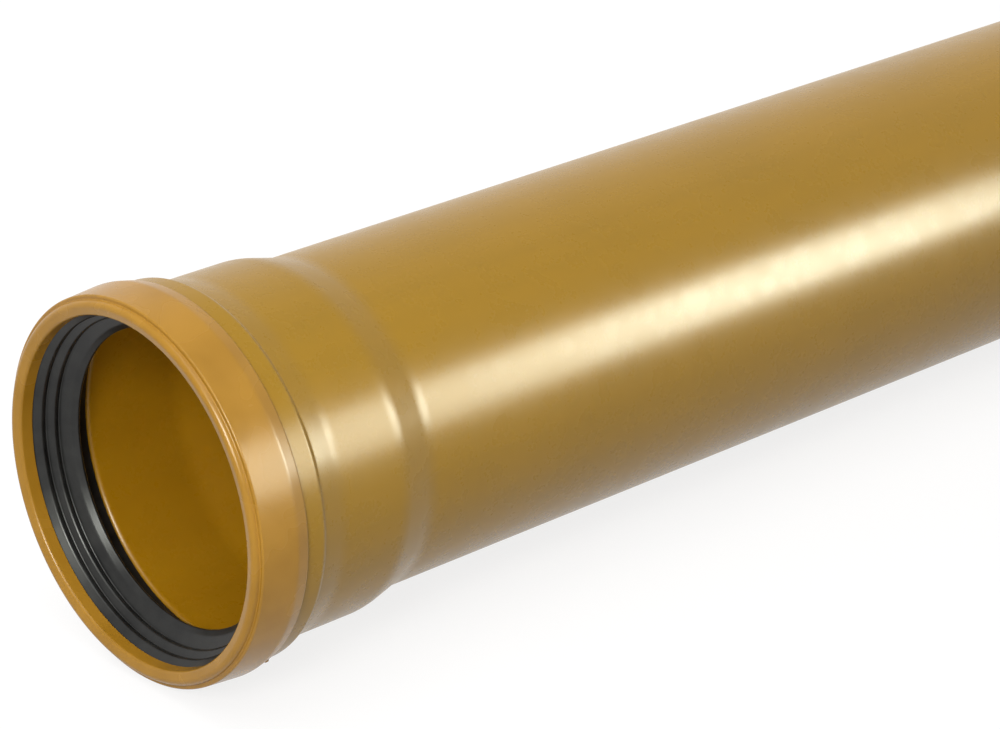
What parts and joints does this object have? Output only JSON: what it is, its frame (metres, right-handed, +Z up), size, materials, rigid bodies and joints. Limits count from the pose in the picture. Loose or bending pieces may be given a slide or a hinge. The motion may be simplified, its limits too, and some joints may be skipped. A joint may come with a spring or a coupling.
{
  "type": "pvc sewer pipe",
  "caption": "Golden-brown PVC drain pipe with a belled socket, clip-on retaining cap and lipped rubber sealing ring, and a chamfered spigot end.",
  "frame": {"origin": "centre of the socket mouth, in the plane of the cap's front", "axes": "+X along the pipe from the socket mouth towards the spigot, dipping 0.47 degrees to the floor; +Z up; +Y across the pipe"},
  "size_m": [1.0617, 0.1268, 0.1269],
  "materials": {
    "extruded_pvc": "golden-brown extruded unplasticised PVC, smooth with a soft gloss",
    "moulded_cap": "orange-brown injection-moulded polypropylene, satin gloss",
    "seal_rubber": "black moulded EPDM rubber with a faint sheen"
  },
  "bodies": {
    "root": {"pipe": "extruded_pvc", "retaining_cap": "moulded_cap", "sealing_ring": "seal_rubber"}
  },
  "joints": []
}
